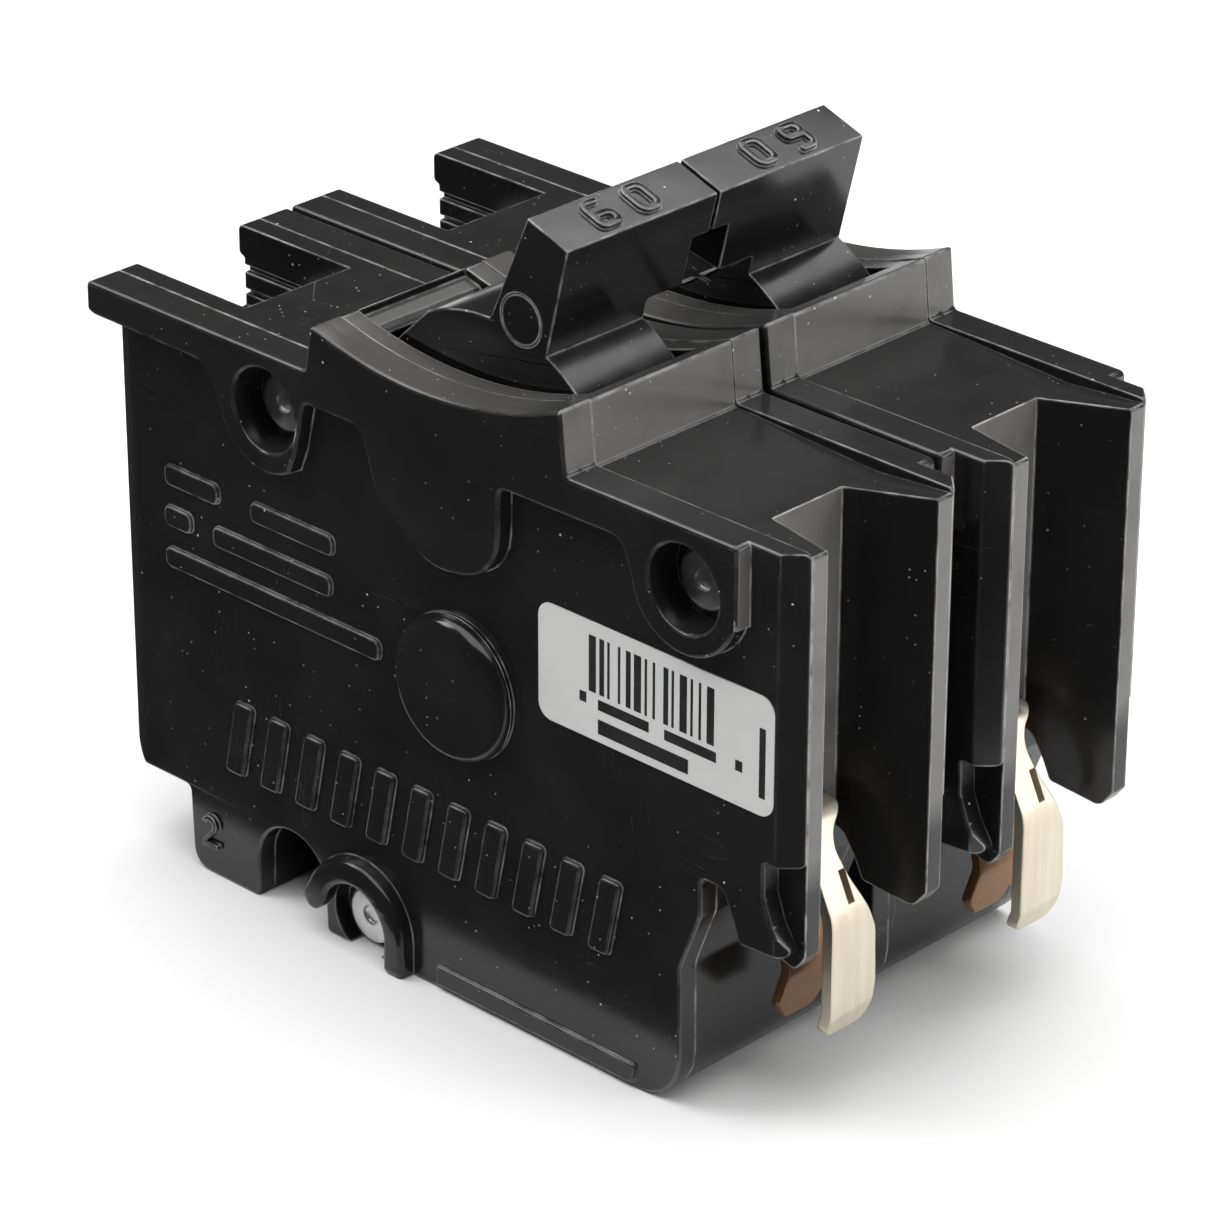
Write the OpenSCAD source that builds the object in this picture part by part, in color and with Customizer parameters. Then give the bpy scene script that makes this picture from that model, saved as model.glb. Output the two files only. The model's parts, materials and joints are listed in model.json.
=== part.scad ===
// Two-pole plug-in circuit breaker, built as two riveted one-inch poles.
// Frame: X runs from the load-terminal end (-) to the line-jaw end (+), Y runs across the
// poles, Z is up. The origin is the centre of the rectangle that the breaker stands on.

/* [Poles] */
// Distance between the centres of the two poles
pole_pitch = 25.4; // [25.2:0.1:26]
// Distance across the raised pads of one pole
pole_w = 24.8; // [24.4:0.1:25]
// Distance across the plain panels of one pole
panel_w = 21.4; // [21:0.1:21.8]
// Width of the middle frame between its two covers
frame_w = 17.4; // [17.2:0.1:17.6]

/* [Profile] */
// Height of the deck at the load end above the base
deck_z = 57.5; // [57:0.1:58]
// Height of the cover edge along the shelf at the line end
shelf_z = 58; // [57.8:0.1:58.4]
// Height of the shelf between the covers
mid_shelf_z = 57.4; // [57:0.1:57.6]
// Height of the handle housing at its line end
housing_z = 63.6; // [63.2:0.1:64]
// Load-end face of the body
load_x = -42.3; // [-42.6:0.1:-42]
// Line-end face of the barrier fins
fin_x = 43; // [42.6:0.1:43.2]
// Line-end face of the lower body
lower_x = 30.4; // [30:0.1:30.8]
// Radius of the dished top of the handle housing
dish_r = 45.8; // [45:0.1:47]

/* [Handle] */
// Radius of the rocker shield that carries the grip
rocker_r = 16.5; // [16.3:0.1:16.6]
// Width of the handle stem
stem_w = 12; // [11:0.1:12.4]
// Height of the handle pivot above the base
pivot_z = 49.2; // [49:0.1:49.4]

/* [Fasteners] */
// Radius of the through rivets
rivet_r = 1.9; // [1.7:0.05:2]
// Radius of the recess round each rivet head
recess_r = 4; // [3.8:0.1:4.2]
// Radius of the wire hole in each lug
wire_r = 3.4; // [3:0.1:3.6]
// Radius of the terminal screws
screw_r = 2; // [1.8:0.05:2.2]
// Radius of the handle pins
handle_pin_r = 1.6; // [1.5:0.05:1.7]
// Radius of the contact arm, cradle and trip bar pins
pin_r = 1.2; // [1.1:0.05:1.3]
// Radius of the armature pins
armature_pin_r = 0.8; // [0.7:0.05:0.9]
// Radius of the calibration screws
trim_r = 1.2; // [1.1:0.05:1.3]
// Play between a pin and the part that turns on it
play = 0.05; // [0.03:0.01:0.08]

/* [Hidden] */
$fn = 64;

half_pad = pole_w / 2;
half_panel = panel_w / 2;
half_frame = frame_w / 2;
pole_a = -pole_pitch / 2;
pole_b = pole_pitch / 2;

// Depth of the rivet recess floors from the pole centre
recess_y = half_panel - 1.5;
// Centres of the working parts in the X-Z plane
pivot = [2.5, pivot_z];
arm_axis = [4, 38.5];
cradle_axis = [-6, 42];
armature_axis = [-11.7, 34];
trip_axis = [-6, 20];
rivet_at = [[-19.4, 51.9], [31.8, 51.9], [-9.4, 3.4]];
slot_at = [-19.1, 4.2];
slot_r = 4.5;
screw_x = -36;

// Side outline of a cover, from the base up the line end and back along the top
cover_outline = [
  [-31, 0], [26, 0], [28.6, 0.8], [lower_x, 3.2], [lower_x, 14.5], [32.7, 20.4],
  [32.7, 24.3], [35.2, 24.3], [36.6, 22.2], [37, 19.8], [42.4, 19.8], [40.6, 22.8],
  [39.9, 25], [39.9, 28.4], [fin_x, 28.4], [fin_x, shelf_z], [18.2, shelf_z],
  [17.6, housing_z], [-13, housing_z], [-13.7, deck_z], [-43, deck_z], [-43, 54.9],
  [load_x, 54.6], [-41.9, 10], [-41.3, 8.8], [-40.2, 8.4], [-33.4, 8.3], [-32.9, 2.4],
  [-32.3, 0.8]
];
// Side outline of the middle frame
frame_outline = [
  [-31, 0], [26, 0], [28.6, 0.8], [lower_x, 3.2], [lower_x, 14.5], [32.7, 20.4],
  [32.7, 24.3], [35.2, 24.3], [36.6, 22.2], [37, 19.8], [41.8, 18.2], [fin_x, 19.6],
  [fin_x, shelf_z], [18.2, shelf_z], [17.6, housing_z], [-13, housing_z],
  [-13.7, deck_z], [-43, deck_z], [-43, 54.9], [load_x, 54.6], [-41.9, 10],
  [-41.3, 8.8], [-40.2, 8.4], [-33.4, 8.3], [-32.9, 2.4], [-32.3, 0.8]
];
// Side outline of the rocker, round the shield and back under its load end
rocker_outline = concat([for (a = [14:3.2:116.4]) pivot + rocker_r * [cos(a), sin(a)]],
  [[-8.6, 60.3], [-9.3, 58.4], [-6.5, 53.2]]);
// Hollow of the middle frame
cavity_outline = [
  [-39.5, 11], [-3, 11], [-1, 9], [-1, 2.5], [27, 2.5], [28.2, 4], [28.2, 17], [30, 24],
  [30, 44], [26, 46], [25.5, 54], [16.2, 54], [16.2, 57.6], [-11.8, 57.6],
  [-14.4, 54], [-14.4, 44], [-25, 44], [-25, 33], [-39.5, 33]
];

// Extrudes an outline of X-Z points to width w, centred on Y
module slab(points, w)
  translate([0, w / 2, 0]) rotate([90, 0, 0]) linear_extrude(w) polygon(points);

// A bar of radius r and length l along Y, centred on the X-Z point at
module bar(at, r, l)
  translate([at[0], l / 2, at[1]]) rotate([90, 0, 0]) cylinder(r = r, h = l);

// The dished top of the handle housing
module dish(w, drop)
  bar([0.05, 60.1 + dish_r - drop], dish_r, w);

module pole(y) translate([0, y, 0]) children();

// Raised pads of one cover, drawn between depths y0 and y1 on its outer side
module pads(y0, y1) {
  d = y1 - y0;
  translate([0, y0 + d / 2, 0]) {
    intersection() {
      slab(cover_outline, d);
      union() {
        translate([-46, -d, 54.4]) cube([84, 2 * d, 12]);
        for (at = [rivet_at[0], rivet_at[1]]) bar(at, 6.3, 2 * d);
        bar([2.3, 52.8], 8, 2 * d);
      }
    }
    intersection() {
      slab(cover_outline, d);
      bar(rivet_at[2], 6.4, 2 * d);
    }
  }
}

// A cover with its outer face towards +Y; one piece with panel, pads and spacer boss
module cover() {
  difference() {
    union() {
      translate([0, (half_frame + half_panel) / 2, 0])
        slab(cover_outline, half_panel - half_frame);
      pads(half_panel - 0.5, half_pad);
      translate([0, half_panel + (pole_pitch / 2 - half_panel) / 2 - 0.25, 0])
        bar([3.5, 32.4], 6.3, pole_pitch / 2 - half_panel + 0.5);
      translate([0.2, half_panel - 0.5, 0.4]) cube([25, 0.9, 2.4]);
    }
    dish(60, 0);
    // Chamfered front edge of the barrier fin
    translate([fin_x - 0.1, half_frame, 0]) rotate([0, 0, 42])
      translate([0, 0, -1]) cube([4, 4, 80]);
    // Rivet holes and their recesses
    for (at = rivet_at) {
      bar(at, rivet_r + play, 60);
      translate([0, recess_y + 5, 0]) bar(at, recess_r, 10);
    }
    rail_slot(60);
    // Blind pin bores in the inner face
    bar(pivot, handle_pin_r + play, 2 * 10.1);
    for (at = [arm_axis, cradle_axis]) bar(at, pin_r + play, 2 * 9.6);
    bar(armature_axis, armature_pin_r + play, 2 * 9.4);
    bar(trip_axis, pin_r + play, 2 * 9.7);
  }
}

// Slot across the base that hooks over the mounting rail
module rail_slot(w) {
  bar(slot_at, slot_r, w);
  translate([slot_at[0] - slot_r, -w / 2, -10]) cube([2 * slot_r, w, 10 + slot_at[1]]);
}

module near_cover(y, inner) color("#222224") pole(y) mirror([0, 1, 0]) difference() {
  cover();
  if (inner) bar(trip_axis, pin_r + play, 60);
}

module far_cover(y, inner) color("#222224") pole(y) difference() {
  cover();
  if (inner) bar(trip_axis, pin_r + play, 60);
}

module frame(y) color("#1e1e20") pole(y) difference() {
  slab(frame_outline, frame_w);
  slab(cavity_outline, frame_w + 2);
  dish(60, 0);
  // Lowered floor of the dish and the slot for the handle
  intersection() {
    dish(stem_w + 1.2, 0.9);
    translate([-12.6, -10, 50]) cube([26.8, 20, 30]);
  }
  translate([-10.2, -stem_w / 2 - 0.6, 50]) cube([24.5, stem_w + 1.2, 30]);
  intersection() {
    bar(pivot, rocker_r + 0.4, stem_w + 1.2);
    translate([-20, -10, 48]) cube([40, 20, 30]);
  }
  // Lowered shelf between the covers
  translate([20.2, -7, mid_shelf_z]) cube([40, 14, 10]);
  // Recess between the barrier fins
  translate([0, 0, -1]) linear_extrude(80)
    polygon([[34.5, -4.3], [43, -6.9], [50, -6.9], [50, 6.9], [43, 6.9], [34.5, 4.3]]);
  // Terminal pocket, open to the top and to the load end
  translate([-50, -6.5, 36]) cube([22, 13, 40]);
  for (z = [52.8, 55.1]) translate([-50, 6.3, z]) rotate([45, 0, 0]) cube([21, 0.6, 0.6]);
  // Passages for the straps and the calibration screw
  translate([-29, -3.1, 36]) cube([10, 6.2, 1.4]);
  translate([25, -3.1, 26.9]) cube([20, 6.2, 1.4]);
  translate([-30, 0, 41.5]) rotate([0, 90, 0]) cylinder(r = trim_r + play, h = 10);
  for (at = rivet_at) bar(at, rivet_r + play, 60);
  rail_slot(60);
}

// Handle in the closed position: hub, web, rocker shield, stem and grip.
// side is +1 when the grip reaches towards +Y, where the other pole's grip is
module handle(y, side) color("#1b1b1d") pole(y) difference() {
  union() {
    // Rocker: curved shield closed by a wall on each side
    difference() {
      slab(rocker_outline, stem_w);
      bar(pivot, rocker_r - 1.3, stem_w - 2.4);
    }
    // Web from the hub up to the shield
    slab([[0.2, 47], [6.2, 46.8], [9.2, 63.4], [3.2, 64.8]], 5);
    bar(pivot, 4, 9);
    // Stem and grip
    slab([[2.8, 64.8], [9.6, 63.2], [9.6, 63.9], [12.4, 74.7], [7.5, 76.3], [2.8, 65.8]], stem_w);
    mirror([0, side < 0 ? 1 : 0, 0]) {
      translate([0, 5, 0])
        slab([[3.4, 67.1], [10.1, 65.8], [12.4, 74.7], [7.5, 76.3]], 11);
      translate([0, 9.15, 0])
        slab([[5.6, 71.4], [11.5, 70.6], [12.4, 74.7], [7.5, 76.3]], 6.7);
    }
  }
  bar(pivot, handle_pin_r + play, 40);
  mirror([0, side < 0 ? 1 : 0, 0]) translate([0, 10, 0]) bar([9.2, 73.4], 0.9, 9);
}

module pin(y, at, r, l) color("#a9abad") pole(y) bar(at, r, l);

// Contact arm: hub, blade and the seat of its contact
module contact_arm(y) color("#b87848") pole(y) difference() {
  union() {
    bar(arm_axis, 2.6, 3);
    slab([[2.6, 38], [6.4, 39], [11, 27], [13.2, 23.6], [13.2, 19], [11.4, 19], [9, 26.4]], 3);
  }
  bar(arm_axis, pin_r + play, 10);
}

module moving_contact(y) color("#c9cac8") pole(y)
  translate([13.2, 0, 21]) rotate([0, 90, 0]) cylinder(r = 1.9, h = 1.3);

module fixed_contact(y) color("#c9cac8") pole(y)
  translate([14.6, 0, 21]) rotate([0, 90, 0]) cylinder(r = 2.2, h = 1.4);

module line_strap(y) color("#b9764a") pole(y) {
  translate([16, -3, 15.5]) cube([1.2, 6, 12.7]);
  translate([17.2, -3, 27]) cube([17.3, 6, 1.2]);
}

// Outer jaw blade: leans out from the strap and hangs straight below it
module jaw_outer(y) color("#d8c79c") pole(y) difference() {
  slab([[34.5, 27], [36.4, 27], [39.9, 19], [39.9, 11], [39.3, 8], [40.2, 7.4],
    [41.1, 10.8], [41.1, 19.4], [37.3, 28.2], [34.5, 28.2]], 5.2);
  translate([36, -0.45, 20.4]) cube([6, 0.9, 4]);
}

module jaw_inner(y) color("#a9683f") pole(y)
  slab([[34.5, 26.9], [34.5, 18], [35.5, 13.4], [33.9, 8.6], [34.9, 7.6],
    [36.7, 13.4], [35.7, 18], [35.7, 26.9]], 5.2);

module arc_plates(y) color("#8d8f90") pole(y)
  for (i = [0:3]) difference() {
    translate([6, -6.4, 4 + 2.6 * i]) cube([16, 12.8, 1]);
    translate([5, -1.6, 3 + 2.6 * i]) cube([8, 3.2, 3]);
  }

module arc_sides(y) color("#8a3b2c") pole(y)
  for (s = [-1, 1]) translate([5, s * 7.1 - 0.6, 3]) cube([18, 1.2, 11.4]);

module cradle(y) color("#9a9c9e") pole(y) difference() {
  union() {
    bar(cradle_axis, 2.4, 2.4);
    slab([[-7.8, 41], [-4, 41], [-7.6, 33], [-9, 28.4], [-11, 28.4], [-9.2, 33]], 2.4);
  }
  bar(cradle_axis, pin_r + play, 10);
}

module armature(y) color("#85878a") pole(y) difference() {
  union() {
    translate([-12.2, -5.5, 16]) cube([1, 11, 17]);
    bar(armature_axis, 1.6, 11);
  }
  bar(armature_axis, armature_pin_r + play, 20);
}

module magnet_yoke(y) color("#7c7e80") pole(y) {
  translate([-21.6, -6.2, 19]) cube([1.4, 12.4, 10]);
  for (s = [-1, 1]) translate([-20.2, s * 5.5 - 0.7, 19]) cube([6.6, 1.4, 10]);
}

module bimetal(y) color("#b3a27a") pole(y) translate([-18.7, -3, 14]) cube([0.9, 6, 24]);

module load_strap(y) color("#b9764a") pole(y) {
  translate([-41, -3, 36]) cube([21, 6, 1.2]);
  translate([-20, -3, 30]) cube([1.3, 6, 13]);
}

module calibration_screw(y) color("#b8babb") pole(y) {
  translate([-27.9, 0, 41.5]) rotate([0, 90, 0]) cylinder(r = trim_r, h = 7.8);
}

module lug(y) color("#b4b6b8") pole(y) difference() {
  translate([-41, -5.5, 37.2]) cube([10, 11, 12]);
  translate([-45, 0, 42]) rotate([0, 90, 0]) cylinder(r = wire_r, h = 20);
  translate([screw_x, 0, 44]) cylinder(r = screw_r + play, h = 10);
}

module terminal_screw(y) color("#c4c5c6") pole(y) difference() {
  union() {
    translate([screw_x, 0, 45.8]) cylinder(r = screw_r, h = 3.7);
    translate([screw_x, 0, 49.4]) cylinder(r = 3.6, h = 1.8);
  }
  translate([screw_x - 5, -0.5, 50.4]) cube([10, 1, 3]);
}

// A tube of radius r swept along points in 3D
function unit(v) = v / norm(v);
function ring(p, t, r, n) =
  let (u = unit(cross(t, abs(t[1]) < 0.9 ? [0, 1, 0] : [1, 0, 0])), w = cross(t, u))
  [for (k = [0:n - 1]) p + r * (cos(360 * k / n) * u + sin(360 * k / n) * w)];

module tube(path, r, n) {
  m = len(path);
  pts = [for (i = [0:m - 1])
    let (a = path[max(i - 1, 0)], b = path[min(i + 1, m - 1)]) each ring(path[i], unit(b - a), r, n)];
  sides = [for (i = [0:m - 2], k = [0:n - 1])
    [i * n + k, i * n + (k + 1) % n, (i + 1) * n + (k + 1) % n, (i + 1) * n + k]];
  caps = [[for (k = [n - 1:-1:0]) k], [for (k = [0:n - 1]) (m - 1) * n + k]];
  polyhedron(points = pts, faces = concat(caps, sides));
}

// Extension spring between the cradle and the contact arm
spring_from = [-6.2, 31.6];
spring_to = [5.1, 30.2];
spring_turns = 9;
module spring(y) color("#b0b2b4") pole(y) {
  d = spring_to - spring_from;
  l = norm(d);
  steps = spring_turns * 10;
  tube([for (i = [0:steps])
    let (s = i / steps, a = 360 * spring_turns * s)
    [spring_from[0] + d[0] * s - d[1] / l * 1.3 * cos(a), 1.3 * sin(a),
     spring_from[1] + d[1] * s + d[0] / l * 1.3 * cos(a)]], 0.3, 6);
}

// Flexible braid from the bimetal to the side of the contact arm
module braid(y) color("#a8683c") pole(y)
  tube([for (s = [0:0.05:1])
    [-17.2 + 23.7 * s, 2.5 + 2 * sin(180 * s), 15 - 7 * sin(180 * s) * (1 - s) + 14 * s * s]], 0.9, 8);

module rivets() color("#c9cacb") for (at = rivet_at) {
  bar(at, rivet_r, 2 * (pole_b + recess_y));
  for (s = [-1, 1]) translate([0, s * (pole_b + recess_y + 0.45), 0]) difference() {
    bar(at, 3.1, 0.9);
    translate([0, s * 0.3, 0]) bar(at, 1.1, 0.5);
  }
}

module trip_bar() color("#d9d2c0") {
  bar(trip_axis, pin_r, 2 * (pole_b + 9.5));
  for (y = [pole_a, pole_b]) translate([0, y, 0]) {
    slab([[-7, 20], [-6, 20], [-6, 29], [-7, 29]], 4);
    slab([[-6.4, 19], [-5.8, 20], [-6.4, 20.6], [-10.9, 16.2], [-10.7, 15]], 4);
  }
}

module handle_tie() color("#a9abad") bar([9.2, 73.4], 0.85, 12);

module label() color("#efefec")
  translate([13.4, pole_a - half_panel - 0.12, 33.2]) cube([27.4, 0.12, 11.3]);

near_cover(pole_a, false);  // near_cover_a
frame(pole_a);  // frame_a
far_cover(pole_a, true);  // far_cover_a
handle(pole_a, 1);  // handle_a
pin(pole_a, pivot, handle_pin_r, 20);  // handle_pin_a
contact_arm(pole_a);  // contact_arm_a
moving_contact(pole_a);  // moving_contact_a
pin(pole_a, arm_axis, pin_r, 19);  // arm_pin_a
line_strap(pole_a);  // line_strap_a
fixed_contact(pole_a);  // fixed_contact_a
jaw_outer(pole_a);  // jaw_outer_a
jaw_inner(pole_a);  // jaw_inner_a
arc_plates(pole_a);  // arc_plates_a
arc_sides(pole_a);  // arc_sides_a
cradle(pole_a);  // cradle_a
pin(pole_a, cradle_axis, pin_r, 19);  // cradle_pin_a
spring(pole_a);  // spring_a
armature(pole_a);  // armature_a
pin(pole_a, armature_axis, armature_pin_r, 18.6);  // armature_pin_a
magnet_yoke(pole_a);  // magnet_yoke_a
bimetal(pole_a);  // bimetal_a
braid(pole_a);  // braid_a
load_strap(pole_a);  // load_strap_a
lug(pole_a);  // lug_a
terminal_screw(pole_a);  // terminal_screw_a
calibration_screw(pole_a);  // calibration_screw_a
near_cover(pole_b, true);  // near_cover_b
frame(pole_b);  // frame_b
far_cover(pole_b, false);  // far_cover_b
handle(pole_b, -1);  // handle_b
pin(pole_b, pivot, handle_pin_r, 20);  // handle_pin_b
contact_arm(pole_b);  // contact_arm_b
moving_contact(pole_b);  // moving_contact_b
pin(pole_b, arm_axis, pin_r, 19);  // arm_pin_b
line_strap(pole_b);  // line_strap_b
fixed_contact(pole_b);  // fixed_contact_b
jaw_outer(pole_b);  // jaw_outer_b
jaw_inner(pole_b);  // jaw_inner_b
arc_plates(pole_b);  // arc_plates_b
arc_sides(pole_b);  // arc_sides_b
cradle(pole_b);  // cradle_b
pin(pole_b, cradle_axis, pin_r, 19);  // cradle_pin_b
spring(pole_b);  // spring_b
armature(pole_b);  // armature_b
pin(pole_b, armature_axis, armature_pin_r, 18.6);  // armature_pin_b
magnet_yoke(pole_b);  // magnet_yoke_b
bimetal(pole_b);  // bimetal_b
braid(pole_b);  // braid_b
load_strap(pole_b);  // load_strap_b
lug(pole_b);  // lug_b
terminal_screw(pole_b);  // terminal_screw_b
calibration_screw(pole_b);  // calibration_screw_b
rivets();
trip_bar();
handle_tie();
label();
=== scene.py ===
"""Looks of the two-pole plug-in circuit breaker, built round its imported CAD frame.

Shapes are modelled in millimetres in the CAD frame and scaled to metres when they are finished.
A pole's own shapes are drawn round its centre plane, with "depth" as the distance from it.
"""

import json
import math

import bmesh
import bpy
from mathutils import Matrix, Vector
from mathutils.geometry import tessellate_polygon


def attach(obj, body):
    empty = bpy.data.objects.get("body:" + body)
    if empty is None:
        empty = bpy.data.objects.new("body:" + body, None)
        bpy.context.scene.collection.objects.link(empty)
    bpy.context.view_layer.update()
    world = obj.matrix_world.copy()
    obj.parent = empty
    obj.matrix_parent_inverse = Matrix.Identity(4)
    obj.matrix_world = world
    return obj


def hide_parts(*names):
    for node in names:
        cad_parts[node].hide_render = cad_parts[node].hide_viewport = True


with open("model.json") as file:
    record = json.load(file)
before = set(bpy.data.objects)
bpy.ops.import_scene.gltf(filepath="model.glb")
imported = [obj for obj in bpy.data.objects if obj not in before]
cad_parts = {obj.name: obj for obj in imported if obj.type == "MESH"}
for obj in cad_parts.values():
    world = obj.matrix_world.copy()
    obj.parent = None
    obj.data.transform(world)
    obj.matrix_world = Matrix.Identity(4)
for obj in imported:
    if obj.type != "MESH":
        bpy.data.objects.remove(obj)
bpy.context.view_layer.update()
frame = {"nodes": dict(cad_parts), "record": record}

MM = 0.001
PITCH = 25.4
POLES = {"a": -PITCH / 2, "b": PITCH / 2}
PAD, PANEL, SEAM = 12.35, 10.7, 8.7
WALL = 6.4
DECK, SHELF, HOUSING = 57.5, 57.7, 63.6
DISH = (0.0, 105.9, 45.8)
PIVOT = (2.5, 49.2)
RIVETS = [(-19.4, 51.9), (31.8, 51.9), (-9.4, 3.4)]
SLOT = (-19.1, 4.2, 4.5)
ROCKER = 16.5
SCREW = (-36, 0)
# How far raised marks reach down into the panel
ROOT = 0.3

# Where the painted sheen (lightening that stands in for light) fades in, in metres
SHEEN_LOW_Z = (0.0255, 0.029)
SHEEN_HOUSING_Z = (0.0583, 0.0588)
SHEEN_START_X = (0.0165, 0.017)
SHEEN_BEFORE_RECESS_X = (0.0272, 0.027)
SHEEN_PAST_RECESS_X = (0.0288, 0.029)


# ---------------------------------------------------------------- mesh helpers, in millimetres

def arc(centre, radius, start, end, steps=12):
    """Points on a circle from angle start to angle end, in degrees."""
    turns = [math.radians(start + (end - start) * i / steps) for i in range(steps + 1)]
    return [(centre[0] + radius * math.cos(t), centre[1] + radius * math.sin(t)) for t in turns]


def soften(points, steps=5):
    """An outline whose corners given as (u, v, radius) are rounded."""
    out = []
    for i, point in enumerate(points):
        if len(point) == 2:
            out.append(point)
            continue
        here = Vector(point[:2])
        back = Vector(points[i - 1][:2]) - here
        ahead = Vector(points[(i + 1) % len(points)][:2]) - here
        half = back.angle(ahead) / 2
        cut = min(point[2] / math.tan(half), back.length * 0.49, ahead.length * 0.49)
        radius = cut * math.tan(half)
        centre = here + (back.normalized() + ahead.normalized()).normalized() * radius / math.sin(half)
        first = here + back.normalized() * cut - centre
        last = here + ahead.normalized() * cut - centre
        start = math.atan2(first.y, first.x)
        sweep = (math.atan2(last.y, last.x) - start + math.pi) % (2 * math.pi) - math.pi
        out += [(centre.x + radius * math.cos(start + sweep * k / steps),
                 centre.y + radius * math.sin(start + sweep * k / steps)) for k in range(steps + 1)]
    return out


def link(name, mesh):
    obj = bpy.data.objects.new(name, mesh)
    bpy.context.scene.collection.objects.link(obj)
    return obj


def bake(obj):
    """Applies an object's modifiers to its mesh."""
    graph = bpy.context.evaluated_depsgraph_get()
    mesh = bpy.data.meshes.new_from_object(obj.evaluated_get(graph))
    obj.modifiers.clear()
    obj.data = mesh
    return obj


def weld(mesh, distance=0.0005):
    work = bmesh.new()
    work.from_mesh(mesh)
    bmesh.ops.remove_doubles(work, verts=work.verts, dist=distance)
    bmesh.ops.recalc_face_normals(work, faces=work.faces)
    work.to_mesh(mesh)
    work.free()


FACING = {
    "y": Matrix(((1, 0, 0, 0), (0, 0, 1, 0), (0, 1, 0, 0), (0, 0, 0, 1))),
    "z": Matrix.Identity(4),
    "x": Matrix(((0, 0, 1, 0), (1, 0, 0, 0), (0, 1, 0, 0), (0, 0, 0, 1))),
}


def tidy(points, wanted_sign):
    """Drops repeated points and gives the outline the wanted turning sense."""
    clean = [p for i, p in enumerate(points) if math.dist(p, points[i - 1]) > 0.01]
    area = sum(p[0] * q[1] - q[0] * p[1] for p, q in zip(clean, clean[1:] + clean[:1]))
    return clean if area * wanted_sign > 0 else clean[::-1]


def inset(points, distance):
    """Moves an outline to its left by a distance."""
    moved = []
    for i, here in enumerate(points):
        here = Vector(here)
        before = (here - Vector(points[i - 1])).normalized()
        after = (Vector(points[(i + 1) % len(points)]) - here).normalized()
        normal = Vector((-before.y - after.y, before.x + after.x)).normalized()
        stretch = max(normal.dot(Vector((-before.y, before.x))), 0.4)
        moved.append(here + normal * distance / stretch)
    return moved


def plate(outlines, low, high, edge=0.0, axis="y", rings=3, low_edge=None):
    """A closed sheet between two depths along an axis, its rims rounded by edge.
    Outlines are in X-Z for axis y, X-Y for axis z and Y-Z for axis x; later ones are holes."""
    loops = [tidy(outline, 1 if i == 0 else -1) for i, outline in enumerate(outlines)]
    levels = [(0.0, low), (0.0, high)]
    if edge:
        first = edge if low_edge is None else low_edge
        turns = [math.pi / 2 * k / rings for k in range(rings + 1)]
        levels = [(first * (1 - math.sin(t)), low + first * (1 - math.cos(t))) for t in turns]
        levels += [(edge * (1 - math.sin(t)), high - edge * (1 - math.cos(t))) for t in reversed(turns)]
    work = bmesh.new()
    rims = []
    for loop in loops:
        rows = [[work.verts.new((*spot, depth)) for spot in inset(loop, shift)] for shift, depth in levels]
        for row, following in zip(rows, rows[1:]):
            for i in range(len(loop)):
                work.faces.new((row[i - 1], row[i], following[i], following[i - 1]))
        rims.append(rows)
    for end in (0, -1):
        corners = [vert for rows in rims for vert in rows[end]]
        flat = [[Vector((v.co.x, v.co.y, 0)) for v in rows[end]] for rows in rims]
        for triple in tessellate_polygon(flat):
            work.faces.new([corners[i] for i in triple])
    bmesh.ops.recalc_face_normals(work, faces=work.faces)
    mesh = bpy.data.meshes.new("plate")
    work.to_mesh(mesh)
    work.free()
    mesh.transform(FACING[axis])
    if axis == "y":
        mesh.flip_normals()
    return link("plate", mesh)


def block(low, high, edge=0.0):
    """A box between two corners, its rims along X and Z rounded by edge."""
    return plate([[(low[0], low[2]), (high[0], low[2]), (high[0], high[2]), (low[0], high[2])]],
                 low[1], high[1], edge)


def disc(centre, radius, low, high, edge=0.0, axis="y", steps=48, rings=3):
    return plate([arc(centre, radius, 0, 360 - 360 / steps, steps - 1)], low, high, edge, axis, rings)


def boolean(base, tools, operation):
    """Adds or cuts tools on base one by one and removes them."""
    for tool in tools:
        step = base.modifiers.new("step", "BOOLEAN")
        step.operation = operation
        step.solver = "MANIFOLD"
        step.object = tool
        bake(base)
        bpy.data.objects.remove(tool)
    return base


def join(base, tools):
    return boolean(base, tools, "UNION")


def cut(base, tools):
    return boolean(base, tools, "DIFFERENCE")


def keep(base, tools):
    return boolean(base, tools, "INTERSECT")


def round_edges(obj, width, segments=2, angle=35):
    weld(obj.data, 0.002)
    step = obj.modifiers.new("round", "BEVEL")
    step.width = width
    step.segments = segments
    step.limit_method = "ANGLE"
    step.angle_limit = math.radians(angle)
    step.use_clamp_overlap = False
    step.miter_outer = "MITER_ARC"
    return bake(obj)


def frame_ring(width, height, stroke, at, depth):
    """A raised rounded-rectangle ring round a point in the X-Y plane."""
    def rim(w, h, r):
        x, y = at
        return soften([(x + w / 2 * u, y + h / 2 * v, r)
                       for u, v in ((-1, -1), (1, -1), (1, 1), (-1, 1))], 5)
    outer = rim(width, height, min(width, height) * 0.38)
    inner = rim(width - 2 * stroke, height - 2 * stroke, min(width, height) * 0.2)
    return plate([outer, inner], -0.3, depth, 0.12, "z", 2)


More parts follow.
